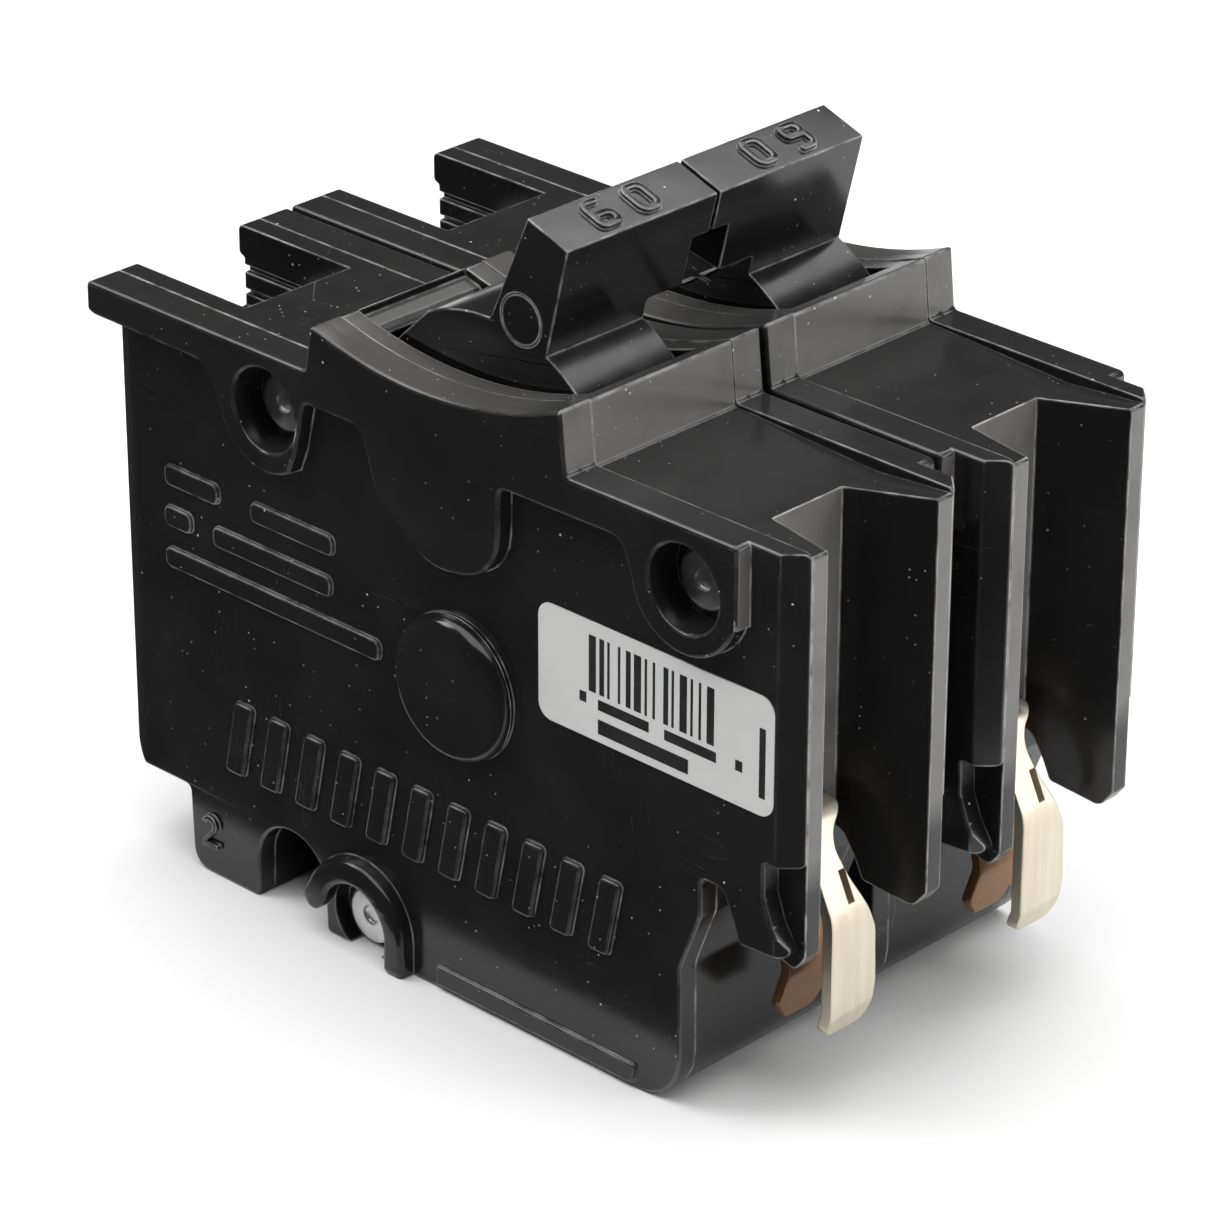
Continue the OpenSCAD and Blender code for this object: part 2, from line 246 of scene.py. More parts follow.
def rating_numerals(height, depth):
    """The raised rating 60, centred on the origin in the X-Y plane."""
    width, stroke, gap = height * 0.72, height * 0.17, height * 1.35
    left = -gap / 2
    bowl = height * 0.56
    six = frame_ring(width, bowl, stroke, (left, (bowl - height) / 2), depth)
    x0 = left - width / 2
    x1 = x0 + width * 0.86
    top = height / 2
    foot = -height * 0.2
    tail = soften([(x0, foot), (x0, top, width * 0.4), (x1, top, stroke * 0.45),
                   (x1, top - stroke, stroke * 0.45), (x0 + stroke, top - stroke, 0.25),
                   (x0 + stroke, foot)], 4)
    six = join(six, [plate([tail], -0.3, depth, 0.12, "z", 2)])
    return join(six, [frame_ring(width, height, stroke, (-left, 0), depth)])


def cavity_number(height, depth):
    """The raised mould-cavity number 2, standing on the X-Y plane."""
    w = height * 0.6
    t = height * 0.16
    centre = (0, height - w / 2)
    top = arc(centre, w / 2, 165, -20, 10)
    top += [(-w / 4, t), (w / 2, t), (w / 2, 0), (-w / 2, 0), (-w / 2, t)]
    back = arc(centre, w / 2 - t, -30, 165, 10)
    return plate([top + back], -0.3, depth, 0.08, "z", 2)


def mirrored(obj, side):
    """Turns a shape drawn on the +Y side into its mirror when side is -1."""
    if side < 0:
        obj.data.transform(Matrix.Scale(-1, 4, (0, 1, 0)))
        obj.data.flip_normals()
    return obj


def finish_piece(obj, name, y, body, material, nodes=(), angle=32):
    """Places a finished shape on its pole, scales it to metres, and hands it to the frame."""
    obj.data.transform(Matrix.Translation((0, y, 0)))
    obj.data.transform(Matrix.Scale(MM, 4))
    obj.name = name
    obj.data.name = name
    obj.data.materials.clear()
    obj.data.materials.append(material)
    for face in obj.data.polygons:
        face.use_smooth = True
    obj.data.set_sharp_from_angle(angle=math.radians(angle))
    shade = obj.modifiers.new("shade", "WEIGHTED_NORMAL")
    shade.keep_sharp = True
    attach(obj, body)
    if nodes:
        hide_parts(*nodes)
    return obj


# ---------------------------------------------------------------- materials

def new_material(name):
    material = bpy.data.materials.new(name)
    material.use_nodes = True
    tree = material.node_tree
    return material, tree, tree.nodes["Principled BSDF"]


def node(tree, kind, settings=None, **inputs):
    """A shader node with its properties and inputs set; a socket given as an input is linked."""
    made = tree.nodes.new(kind)
    for key, value in (settings or {}).items():
        setattr(made, key, value)
    for key, value in inputs.items():
        socket = made.inputs[int(key[1:])] if key[0] == "i" and key[1:].isdigit() else made.inputs[key]
        if isinstance(value, bpy.types.NodeSocket):
            tree.links.new(value, socket)
        else:
            socket.default_value = value
    return made


def noise(tree, coords, scale, detail=3.0, rough=0.55):
    made = node(tree, "ShaderNodeTexNoise", Scale=scale, Detail=detail, Roughness=rough)
    tree.links.new(coords, made.inputs["Vector"])
    return made.outputs["Fac"]


def spread(tree, value, low, high, out_low=0.0, out_high=1.0):
    made = node(tree, "ShaderNodeMapRange", i1=low, i2=high, i3=out_low, i4=out_high)
    tree.links.new(value, made.inputs[0])
    return made.outputs[0]


def maths(tree, operation, a, b):
    return node(tree, "ShaderNodeMath", {"operation": operation}, i0=a, i1=b).outputs[0]


def blend(tree, factor, a, b):
    made = node(tree, "ShaderNodeMix", {"data_type": "RGBA"})
    tree.links.new(factor, made.inputs[0])
    for socket, value in ((made.inputs[6], a), (made.inputs[7], b)):
        if isinstance(value, bpy.types.NodeSocket):
            tree.links.new(value, socket)
        else:
            socket.default_value = (*value, 1)
    return made.outputs[2]


def specks(tree, coords, scale, size, share):
    """Small round specks: 1 inside a speck, 0 elsewhere."""
    cells = node(tree, "ShaderNodeTexVoronoi", Scale=scale, Randomness=1.0)
    tree.links.new(coords, cells.inputs["Vector"])
    near = spread(tree, cells.outputs["Distance"], size, size * 0.6)
    chosen = node(tree, "ShaderNodeSeparateColor")
    tree.links.new(cells.outputs["Color"], chosen.inputs[0])
    return maths(tree, "MULTIPLY", near, maths(tree, "GREATER_THAN", chosen.outputs[0], 1 - share))


def scratches(tree, coords, stretch, turn, width, scale):
    """Fine lines where a stretched noise crosses its middle value, broken up by a broad noise."""
    place = node(tree, "ShaderNodeMapping", Rotation=turn, Scale=stretch)
    tree.links.new(coords, place.inputs["Vector"])
    swell = noise(tree, place.outputs[0], scale, 2.0)
    band = maths(tree, "ABSOLUTE", maths(tree, "SUBTRACT", swell, 0.5), 0)
    line = spread(tree, band, width, 0.0)
    patch = spread(tree, noise(tree, coords, scale * 0.9, 3.0), 0.6, 0.7)
    return maths(tree, "MULTIPLY", line, patch)


def edge_agreement(tree, true, radius):
    """1 on flat ground, and less within radius of an edge or a corner."""
    rounded = node(tree, "ShaderNodeBevel", {"samples": 4}, Radius=radius).outputs[0]
    test = node(tree, "ShaderNodeVectorMath", {"operation": "DOT_PRODUCT"}, i0=rounded, i1=true)
    return test.outputs["Value"]


def painted_sheen(tree, coords, true):
    """How strongly painted sheen lightens the faces towards the line end and, thinner, the tops, standing
    in for the light that falls on them.
    """
    facing = node(tree, "ShaderNodeSeparateXYZ", i0=true)
    place = node(tree, "ShaderNodeSeparateXYZ", i0=coords)
    towards = maths(tree, "MULTIPLY", spread(tree, facing.outputs[0], 0.93, 0.99),
                    spread(tree, place.outputs[2], *SHEEN_LOW_Z))
    uneven = spread(tree, noise(tree, coords, 130, 5), 0.35, 0.65, 0.75, 1.2)
    towards = maths(tree, "MULTIPLY", towards, uneven)
    # None in the rivet recesses or on the load-end half
    clear = maths(tree, "MAXIMUM", spread(tree, place.outputs[0], *SHEEN_BEFORE_RECESS_X),
                  spread(tree, place.outputs[0], *SHEEN_PAST_RECESS_X))
    towards = maths(tree, "MULTIPLY", towards,
                    maths(tree, "MULTIPLY", clear, spread(tree, place.outputs[0], *SHEEN_START_X)))
    upward = maths(tree, "MULTIPLY", spread(tree, facing.outputs[2], 0.9, 0.97),
                   spread(tree, place.outputs[2], *SHEEN_HOUSING_Z, 0.08, 0.45))
    return maths(tree, "MAXIMUM", towards, upward)


def phenolic(name, shade, gloss, dust=1.0, grain=0.05, wear_and_highlight=1.0, overlay=1.0):
    """Glossy black moulding compound with dust specks, fine scratches, edges lightened partly by rubbed
    wear and partly by painted highlight, and a painted sheen on faces towards the line end and on the tops.
    """
    material, tree, shader = new_material(name)
    coords = node(tree, "ShaderNodeTexCoord").outputs["Object"]
    cloud = noise(tree, coords, 90, 4)
    fine = noise(tree, coords, 1400, 3)
    colour = blend(tree, spread(tree, cloud, 0.3, 0.7), [shade * 0.75] * 3, [shade * 1.3] * 3)
    big = specks(tree, coords, 620, 0.085, 0.09 * dust)
    small = specks(tree, coords, 1500, 0.13, 0.14 * dust)
    crowd = spread(tree, noise(tree, coords, 60, 2), 0.42, 0.62)
    dots = maths(tree, "MAXIMUM", big, maths(tree, "MULTIPLY", small, crowd))
    lines = maths(tree, "MAXIMUM",
                  scratches(tree, coords, (1, 1, 14), (0.7, 0.35, 0.2), 0.0022, 60),
                  scratches(tree, coords, (12, 1, 1), (0.1, 0.9, 0.6), 0.0022, 75))
    true = node(tree, "ShaderNodeNewGeometry").outputs["Normal"]
    # Painted sheen: faces towards the line end and the tops are lightened towards pale grey, as if lit
    sheen_amount = maths(tree, "MULTIPLY", painted_sheen(tree, coords, true), overlay)
    colour = blend(tree, sheen_amount, colour, (0.135, 0.131, 0.128))
    # Lightened edges: partly rubbed wear, partly a painted highlight for light caught on the rounded edges
    agree = edge_agreement(tree, true, 0.00026)
    rubbed_and_highlit = maths(tree, "MULTIPLY", spread(tree, agree, 0.992, 0.93),
                   spread(tree, noise(tree, coords, 420, 4), 0.38, 0.6, 0.22, 1.0))
    rubbed_and_highlit = maths(tree, "MULTIPLY", rubbed_and_highlit, wear_and_highlight)
    colour = blend(tree, maths(tree, "MULTIPLY", rubbed_and_highlit, 0.85), colour, (0.55, 0.545, 0.54))
    colour = blend(tree, maths(tree, "MULTIPLY", lines, 0.35 * wear_and_highlight), colour, (0.22, 0.22, 0.22))
    colour = blend(tree, maths(tree, "MULTIPLY", dots, 0.85), colour, (0.62, 0.61, 0.6))
    tree.links.new(colour, shader.inputs["Base Color"])
    rough = spread(tree, noise(tree, coords, 260, 5), 0.3, 0.7, gloss * 0.8, gloss * 1.3)
    rough = maths(tree, "ADD", rough, maths(tree, "MULTIPLY", maths(tree, "MAXIMUM", dots, rubbed_and_highlit), 0.3))
    tree.links.new(rough, shader.inputs["Roughness"])
    marks = maths(tree, "SUBTRACT", maths(tree, "MULTIPLY", dots, 1.5), lines)
    height = maths(tree, "ADD", maths(tree, "MULTIPLY", fine, 0.5), marks)
    bump = node(tree, "ShaderNodeBump", Strength=grain, Distance=0.0001)
    tree.links.new(height, bump.inputs["Height"])
    tree.links.new(bump.outputs[0], shader.inputs["Normal"])
    return material


def metal(name, light, dark, gloss, brushed=(1, 1, 1), grain=0.1, tarnish=(0.25, 0.17, 0.1), stain=0.35):
    """Metal with brushed streaks, tarnish clouds and scuffs."""
    material, tree, shader = new_material(name)
    coords = node(tree, "ShaderNodeTexCoord").outputs["Object"]
    place = node(tree, "ShaderNodeMapping", Scale=brushed)
    tree.links.new(coords, place.inputs["Vector"])
    streak = noise(tree, place.outputs[0], 900, 4)
    cloud = noise(tree, coords, 170, 4)
    colour = blend(tree, spread(tree, streak, 0.3, 0.7), dark, light)
    colour = blend(tree, spread(tree, cloud, 0.55, 0.8, 0.0, stain), colour, tarnish)
    true = node(tree, "ShaderNodeNewGeometry").outputs["Normal"]
    agree = edge_agreement(tree, true, 0.0003)
    colour = blend(tree, spread(tree, agree, 0.995, 0.8, 0.0, 0.6), colour, tarnish)
    tree.links.new(colour, shader.inputs["Base Color"])
    shader.inputs["Metallic"].default_value = 1.0
    tree.links.new(spread(tree, streak, 0.25, 0.75, gloss * 0.75, gloss * 1.35), shader.inputs["Roughness"])
    bump = node(tree, "ShaderNodeBump", Strength=grain, Distance=0.00005)
    tree.links.new(streak, bump.inputs["Height"])
    tree.links.new(bump.outputs[0], shader.inputs["Normal"])
    return material


def dull(name, light, dark, rough, scale=300, grain=0.1):
    """Plain non-metal with a mottled colour and a fine grain."""
    material, tree, shader = new_material(name)
    coords = node(tree, "ShaderNodeTexCoord").outputs["Object"]
    cloud = noise(tree, coords, scale, 5)
    tree.links.new(blend(tree, spread(tree, cloud, 0.3, 0.7), dark, light), shader.inputs["Base Color"])
    tree.links.new(spread(tree, cloud, 0.3, 0.7, rough * 0.85, rough * 1.15), shader.inputs["Roughness"])
    bump = node(tree, "ShaderNodeBump", Strength=grain, Distance=0.00005)
    tree.links.new(noise(tree, coords, scale * 6, 3), bump.inputs["Height"])
    tree.links.new(bump.outputs[0], shader.inputs["Normal"])
    return material


COVER = phenolic("cover_phenolic", 0.0115, 0.17)
# The frame gets more dust, more wear and more painted edge highlight
FRAME = phenolic("frame_phenolic", 0.0085, 0.2, dust=1.3, wear_and_highlight=1.3)
# The handles get more dust and only a little of the painted sheen
HANDLE = phenolic("handle_phenolic", 0.0095, 0.17, dust=1.6, overlay=0.08)
PLATED = metal("plated_brass", (0.74, 0.69, 0.58), (0.62, 0.55, 0.42), 0.4, (1, 1, 0.06), stain=0.25)
# Copper, its colour darkened by painted shade on top of its own tarnish
COPPER_IN_PAINTED_SHADE = metal("spring_copper", (0.3, 0.165, 0.085), (0.19, 0.095, 0.05), 0.36, (1, 1, 0.08), stain=0.5)
STRAP = metal("strap_copper", (0.78, 0.48, 0.32), (0.55, 0.3, 0.18), 0.35, (0.1, 1, 1))
STEEL = metal("drawn_steel", (0.6, 0.6, 0.6), (0.42, 0.42, 0.43), 0.3, (1, 0.1, 1),
              tarnish=(0.2, 0.17, 0.15))
IRON = metal("plated_iron", (0.5, 0.5, 0.5), (0.34, 0.34, 0.35), 0.45, tarnish=(0.24, 0.2, 0.17))
ALUMINIUM = metal("spun_aluminium", (0.82, 0.82, 0.82), (0.62, 0.62, 0.63), 0.38,
                  tarnish=(0.45, 0.45, 0.45), stain=0.4)
ZINC = metal("bright_zinc", (0.75, 0.75, 0.76), (0.6, 0.6, 0.62), 0.25, tarnish=(0.4, 0.4, 0.38))
SILVER = metal("contact_silver", (0.85, 0.85, 0.83), (0.7, 0.7, 0.68), 0.35, tarnish=(0.3, 0.28, 0.25))
BIMETAL = metal("rolled_bimetal", (0.62, 0.58, 0.5), (0.5, 0.44, 0.34), 0.35, (1, 1, 0.05))
FIBRE = dull("red_fibre", (0.42, 0.15, 0.09), (0.3, 0.1, 0.06), 0.7)
NYLON = dull("natural_nylon", (0.78, 0.74, 0.64), (0.7, 0.65, 0.54), 0.5)
PAPER = dull("label_film", (0.6, 0.6, 0.595), (0.56, 0.56, 0.555), 0.32, 120, 0.03)
INK = dull("label_ink", (0.03, 0.03, 0.03), (0.015, 0.015, 0.015), 0.4, 600, 0.02)

INNER_LOOKS = {
    "steel_pin": STEEL, "strap_copper": STRAP, "contact_silver": SILVER, "magnet_iron": IRON,
    "fibre_board": FIBRE, "bimetal_strip": BIMETAL, "jaw_copper": COPPER_IN_PAINTED_SHADE, "jaw_plated": PLATED,
    "lug_aluminium": ALUMINIUM, "screw_zinc": ZINC, "rivet_aluminium": ALUMINIUM,
    "trip_bar_nylon": NYLON, "label_white": PAPER, "phenolic": COVER, "phenolic_frame": FRAME,
    "handle_black": HANDLE,
}


# ---------------------------------------------------------------- outlines of the case

def dish_arc(x_from, x_to, lift=0.0, steps=26):
    """The concave top of the handle housing from one X position to another."""
    cx, cz, r = DISH
    points = []
    for i in range(steps + 1):
        x = x_from + (x_to - x_from) * i / steps
        points.append((x, cz + lift - math.sqrt(r * r - (x - cx) ** 2)))
    return points


def dish_line(lift=0.0):
    """The dish of an outline, from its line end back to its load end."""
    return dish_arc(-12.6, 17.0, lift)[::-1]


def foot_and_slot():
    """The base line from the foot to the line end, over the rail slot."""
    cx, cz, r = SLOT
    slot = arc((cx, cz), r, 180, 0, 16)
    return [(-32.8, 0, 2.0), (cx - r - 0.15, 0, 0.6)] + slot + [(cx + r + 0.1, 0, 0.6)]


def line_end():
    return [(30.4, 0, 5.0), (30.35, 14.2, 3.0), (32.7, 20.3, 1.5), (32.7, 24.1, 0.6),
            (35.1, 24.1, 1.2), (36.4, 21.4, 1.5), (37.1, 19.4, 0.6)]


def load_end():
    return [(-13.9, DECK, 0.5), (-43, DECK, 0.6), (-43, 54.6, 0.5), (-42.3, 54.3), (-41.9, 8.3, 2.4),
            (-33.1, 8.3, 0.6)]


def cover_profile():
    top = [(43, 28.4, 0.5), (43, SHELF, 0.7), (18.2, SHELF, 0.5), (17.6, HOUSING, 0.5)]
    dish = dish_line()
    step = [(42.5, 19.8, 0.5), (40.8, 22.4, 1.0), (39.9, 24.8, 1.5), (39.8, 28.4, 0.5)]
    return soften(foot_and_slot() + line_end() + step + top + dish + [(-13.1, 61.9, 0.4)] + load_end())


def frame_profile():
    top = [(43, 19.6, 0.5), (43, SHELF - 0.3, 0.5), (18.2, SHELF - 0.3, 0.4), (17.6, HOUSING - 0.15, 0.4)]
    dish = dish_line(-0.1)
    return soften(foot_and_slot() + line_end() + [(41.8, 18.0, 0.8)] + top + dish
                  + [(-13.1, 61.8, 0.4)] + load_end())


def pad_profile():
    """The raised band under the deck, the dish and the shelf, with its lobes and rivet bosses."""
    left, right = RIVETS[0], RIVETS[1]
    boss_left = arc(left, 6.1, 190, 300, 14)
    boss_right = arc(right, 6.1, 190, 345, 18)
    lobe = [(-15.4, 49.0, 1.5), (-14.2, 54.2, 0.8), (-7.0, 54.3, 1.6), (-5.2, 48.6, 3.5),
            (1.4, 43.4, 6.0), (10.0, 45.0, 5.2), (10.2, 54.0, 0.9), (24.6, 54.2, 1.8)]
    lower = [(-42.2, 54.3, 0.5), (-27.4, 54.2, 1.6)] + boss_left + lobe + boss_right + [(37.9, 49.8, 0.6)]
    top = [(37.9, SHELF, 0.6), (18.2, SHELF, 0.5), (17.6, HOUSING, 0.5)]
    dish = dish_line()
    back = [(-13.1, 61.9, 0.4), (-13.9, DECK, 0.5), (-43, DECK, 0.6), (-43, 54.6, 0.5)]
    return soften(lower + top + dish + back)


def hook_profile():
    """The raised ring round the lower rivet, open to the lower left."""
    cx, cz = RIVETS[2]
    outer = arc((cx, cz - 0.2), 6.5, 0, 152, 26)
    inner = arc((cx, cz - 0.2), 4.0, 166, -8, 26)
    tip = [(-16.3, 4.3, 0.9), (-14.9, 2.2, 0.9)]
    return soften([(-2.9, 0.0, 0.6)] + outer + tip + inner + [(-5.5, 0.0, 0.6)])


# ---------------------------------------------------------------- covers

def raised_dashes(base, rows, depth):
    """Rows of small raised bars, given as (x, z, length, height)."""
    bars = []
    for x, z, length, height in rows:
        r = min(height, length) * 0.35
        far, top = x + length, z + height
        outline = soften([(x, z, r), (far, z, r), (far, top, r), (x, top, r)], 4)
        bars.append(plate([outline], PANEL - ROOT, PANEL + depth, 0.12))
    return join(base, bars)


def slanted_ribs():
    """A plain row of slanted ribs along the lower panel."""
    first, pitch, width, lean = -27.5, 4.7, 2.5, 1.6
    bottom, top = 12.3, 20.0
    ribs = []
    for i in range(11):
        x = first + pitch * i
        outline = soften([(x, bottom, 0.5), (x + width, bottom, 0.5), (x + width + lean, top, 0.5),
                          (x + lean, top, 0.5)], 4)
        ribs.append(plate([outline], PANEL - ROOT, PANEL + 0.55, 0.3))
    return ribs


def cover(decorated, side):
    """One cover drawn on the +Y side; its number reads from the given side."""
    holes = [arc(at, 4.0, 0, 352.5, 47) for at in RIVETS[:2]]
    panel = plate([cover_profile()] + holes, SEAM, PANEL, 0.3, low_edge=0.07)
    # The plan rounds the load-end edge below the rail and chamfers the fin
    fin = [(42.95, 8.9, 0.4), (41.1, PANEL, 0.4)]
    rounded = [(-42.35, 0), (42.95, 0)] + fin + [(-39.2, PANEL, 3.0), (-42.35, 9.0, 1.4)]
    square = [(-44, 0), (42.95, 0)] + fin + [(-44, PANEL)]
    lower = plate([soften(rounded, 7)], -5, 54.55, 0, "z")
    upper = plate([soften(square, 7)], 54.5, 70, 0, "z")
    panel = keep(panel, [join(lower, [upper])])
    band = plate([pad_profile()] + holes, PANEL - 0.5, PAD, 0.32)
    hook = plate([hook_profile()], PANEL - 0.5, PAD, 0.6)
    spacer = disc((3.4, 32.1), 7.0, PANEL - 0.9, PAD + 0.25, 1.45, rings=6)
    foot = soften([(0.3, 0.5, 0.3), (25.0, 0.5, 0.5), (25.3, 2.5, 0.4), (0.3, 2.5, 0.4)])
    panel = join(panel, [band, hook, spacer, plate([foot], PANEL - 0.4, PANEL + 0.35, 0.2)])
    rivet_hole = disc(RIVETS[2], 3.9, SEAM + 0.2, 20)
    panel = cut(panel, [rivet_hole])
    if decorated:
        words = [(-34.6, 39.4, 7.2, 2.0), (-23.0, 39.4, 10.8, 2.0), (-34.8, 35.2, 3.6, 2.0),
                 (-28.2, 35.2, 15.6, 2.0), (-34.8, 31.0, 28.4, 2.0)]
        panel = raised_dashes(panel, words, 0.4)
        panel = join(panel, slanted_ribs())
        number = cavity_number(3.4, 0.5)
        number.data.transform(Matrix.Rotation(math.radians(90), 4, "X"))
        mirrored(number, -1)
        if side > 0:
            number.data.transform(Matrix.Scale(-1, 4, (1, 0, 0)))
            number.data.flip_normals()
        number.data.transform(Matrix.Translation((-30.0, PANEL, 3.0)))
        panel = join(panel, [number])
    return panel


def build_covers():
    for pole, y in POLES.items():
        for side, name in ((-1, "near_cover"), (1, "far_cover")):
            outer = (pole == "a") == (side < 0)
            shape = mirrored(cover(outer, side), side)
            finish_piece(shape, f"{name}_{pole}_look", y, "case", COVER,
                         [f"{name}_{pole}"])


# ---------------------------------------------------------------- middle frame

def middle_frame():
    core = plate([frame_profile()], -SEAM, SEAM)
    cavity = [(-39.5, 11), (-3, 11), (-1, 9), (-1, 2.5), (27, 2.5), (28.2, 4), (28.2, 17), (30, 24),
              (30, 44), (26, 46), (25.5, 54), (16.2, 54), (16.2, 56), (-11.8, 56), (-14.4, 54),
              (-14.4, 44), (-25, 44), (-25, 33), (-39.5, 33)]
    opening = [(-13.6, 63.9), (-10.0, 59.0), (-10.0, 50), (14.8, 50), (14.8, 61.5), (17.0, 66),
               (17, 80), (-13.6, 80)]
    recess = [(34.5, -4.3), (43.2, -6.95), (50, -6.95), (50, 6.95), (43.2, 6.95), (34.5, 4.3)]
    dish_floor = dish_arc(-12.9, 14.9, -0.9) + [(14.9, 80), (-12.9, 80)]
    shelf = [(19.0, SHELF - 0.25), (34.5, 56.6), (43.3, SHELF - 0.35), (44, 80), (19.0, 80)]
    half_slot = 6.6
    tools = [
        plate([cavity], -8.0, 8.0),
        plate([opening], -half_slot, half_slot),
        plate([dish_floor], -half_slot, half_slot),
        plate([shelf], -10, 10),
        plate([arc(PIVOT, ROCKER + 0.4, -8, 188, 60)], -half_slot, half_slot),
        plate([recess], -5, 90, 0, "z"),
        block((-60, -WALL, 36), (-27.9, WALL, 90)),
    ]
    groove_end = -28.6
    for side in (-1, 1):
        for low, high in ((52.9, 53.6), (50.7, 51.2)):
            a, b = sorted((side * (WALL - 0.5), side * (WALL + 0.6)))
            tools.append(block((-60, a, low), (groove_end, b, high)))
    core = cut(core, tools)
    outer, inner = WALL + 0.3, 3.9
    lips = [block((-42.2, a, 37), (-41.2, b, 49.6)) for a, b in ((-outer, -inner), (inner, outer))]
    core = join(core, lips)
    return round_edges(core, 0.11, 2)


def build_frames():
    for pole, y in POLES.items():
        finish_piece(middle_frame(), f"frame_{pole}_look", y, "case", FRAME,
                     [f"frame_{pole}"])


# ---------------------------------------------------------------- handles

def handle(side):
    """A handle in the closed position, drawn round its pole centre; side says where its twin is."""
    rocker = arc(PIVOT, ROCKER, 116.4, 14, 44) + [(-6.5, 53.2), (-9.3, 58.4), (-8.6, 60.3)]
    body = plate([rocker], -6, 6)
    body = cut(body, [disc(PIVOT, ROCKER - 1.3, -4.8, 4.8, steps=96)])
    web = [(0.2, 47), (6.2, 46.8), (9.2, 62.6), (3.2, 64)]
    grip = [(2.7, 64.6), (2.9, 65.6), (7.5, 76.2), (12.3, 74.5), (9.75, 64.2), (8.6, 63.6)]
    reach = sorted((side * -6.0, side * 12.5))
    stem = plate([grip], *reach)
    # Two steps under the grip, each cut from a Y position out past the grip's end
    notches = []
    fall = 1.5 / 6.8 * 9
    for start, x, bottom, brow_x, brow_z in ((6.0, 2.0, 60.0, 3.3, 67.1), (10.4, 3.0, 66.0, 5.6, 71.8)):
        outline = [(x - 4, bottom), (x + 12, bottom), (x + 12, brow_z - fall), (brow_x - 4, brow_z + 0.9)]
        notches.append(plate([outline], *sorted((side * start, side * 13.0))))
    stem = cut(stem, notches)
    body = join(body, [stem, plate([web], -2.5, 2.5), disc(PIVOT, 4, -4.5, 4.5)])
    body = cut(body, [disc(PIVOT, 1.65, -20, 20)])
    body = round_edges(body, 0.2, 2, 30)
    # The round mark of an ejector pin, a fine groove
    pin_at = (6.7, 66.6)
    groove = cut(disc(pin_at, 2.45, -9.0, -5.75, steps=40), [disc(pin_at, 2.3, -9.0, -5.85, steps=40)])
    body = cut(body, [groove])
    slope = math.atan2(grip[2][1] - grip[3][1], grip[3][0] - grip[2][0])
    number = rating_numerals(3.7, 0.42)
    spin = math.radians(90 if side > 0 else -90)
    number.data.transform(Matrix.Rotation(spin, 4, "Z"))
    number.data.transform(Matrix.Rotation(slope, 4, "Y"))
    number.data.transform(Matrix.Translation((9.9, side * 2.8, 75.33)))
    return join(body, [number])


def build_handles():
    for pole, side in (("a", 1), ("b", -1)):
        finish_piece(handle(side), f"handle_{pole}_look", POLES[pole], "handles",
                     HANDLE, [f"handle_{pole}"])


# ---------------------------------------------------------------- jaws, rivets, label, terminals

def bent_strip(path, thickness, outline, edge=0.18):
    """A strip bent along X-Z points; outline gives its Y-Z shape. Both are intersected."""
    left = [Vector(p) for p in path]
    sides = ([], [])
    for i, p in enumerate(left):
        ahead = (left[min(i + 1, len(left) - 1)] - left[max(i - 1, 0)]).normalized()
        normal = Vector((-ahead.y, ahead.x)) * thickness / 2
        sides[0].append(tuple(p + normal))
        sides[1].append(tuple(p - normal))
    strip = plate([sides[0] + sides[1][::-1]], -10, 10)
    strip = keep(strip, [plate([outline], 20, 60, 0, "x")])
    return round_edges(strip, edge, 2, 30)


def build_jaws():
    outer_path = soften([(34.6, 27.6), (36.6, 27.6, 1.2), (40.4, 19.6, 4.0), (40.4, 10.2, 1.5),
                         (39.5, 7.6)], 8)
    outer_shape = soften([(-3.0, 30), (-3.0, 8.1, 1.2), (2.2, 8.1, 1.6), (2.9, 12.0, 3.0), (2.7, 17.4, 4.0),
                          (0.6, 22.6, 5.0), (-0.2, 26.0, 3.0), (2.6, 28.2), (2.6, 30)], 8)
    inner_path = soften([(35.1, 26.9), (35.1, 18.0, 4.0), (36.1, 13.2, 2.0), (34.5, 8.2), (34.2, 7.6)], 8)
    inner_shape = soften([(-3.4, 30), (-3.4, 9.5, 1.2), (-1.8, 7.4, 0.6), (1.6, 7.4, 0.8), (2.6, 9.5, 1.2),
                          (2.6, 30)], 6)
    for pole, y in POLES.items():
        blade = bent_strip(outer_path, 1.2, outer_shape)
        slit = block((36, -0.5, 20.6), (43, 0.3, 23.4))
        finish_piece(cut(blade, [slit]), f"jaw_outer_{pole}_look", y, "case", PLATED,
                     [f"jaw_outer_{pole}"])
        blade = bent_strip(inner_path, 1.1, inner_shape)
        finish_piece(blade, f"jaw_inner_{pole}_look", y, "case", COPPER_IN_PAINTED_SHADE,
                     [f"jaw_inner_{pole}"])


def build_rivets():
    reach = POLES["b"] + SEAM
    whole = None
    for at in RIVETS:
        shaft = disc(at, 1.9, -reach, reach)
        for side in (-1, 1):
            low, high = sorted((side * (reach - 0.05), side * (reach + 1.15)))
            head = disc(at, 2.9, low, high, 0.45, steps=40)
            low, high = sorted((side * (reach + 0.75), side * (reach + 3)))
            head = cut(head, [disc(at, 1.0, low, high, 0.3, steps=28)])
            shaft = join(shaft, [head])
        whole = shaft if whole is None else join(whole, [shaft])
    finish_piece(whole, "rivets_look", 0, "case", ALUMINIUM, ["rivets"])


